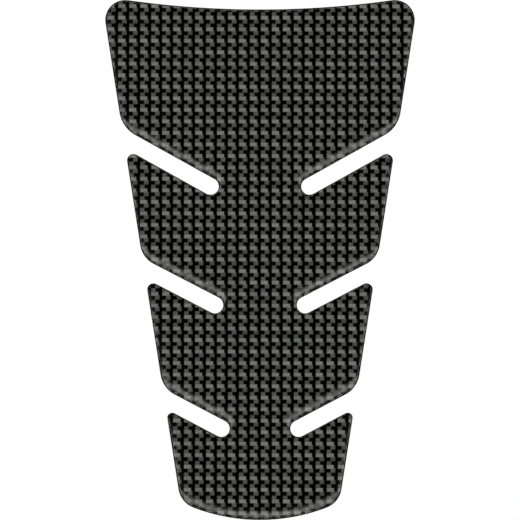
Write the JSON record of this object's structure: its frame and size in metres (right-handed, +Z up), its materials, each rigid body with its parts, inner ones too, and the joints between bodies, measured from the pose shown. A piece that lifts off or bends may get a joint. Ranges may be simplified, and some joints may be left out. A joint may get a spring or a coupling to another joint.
{
  "type": "motorcycle tank pad",
  "caption": "Flat tapered pad with slanted relief slots along both sides: a carbon-look printed adhesive film under a clear resin dome, stuck on a fuel tank against scratches.",
  "frame": {"origin": "middle of the rectangle that the pad fills, on its adhesive underside, where it lies on the surface", "axes": "+Z up out of the clear dome, +Y towards the wide end along the axis of symmetry, +X to the right seen from above"},
  "size_m": [0.125, 0.21, 0.002],
  "materials": {
    "printed_vinyl": "black vinyl with a grey carbon-weave print, adhesive coat below",
    "clear_resin": "clear cast resin, high gloss"
  },
  "bodies": {
    "root": {"printed_film": "printed_vinyl", "gel_dome": "clear_resin"}
  },
  "joints": []
}
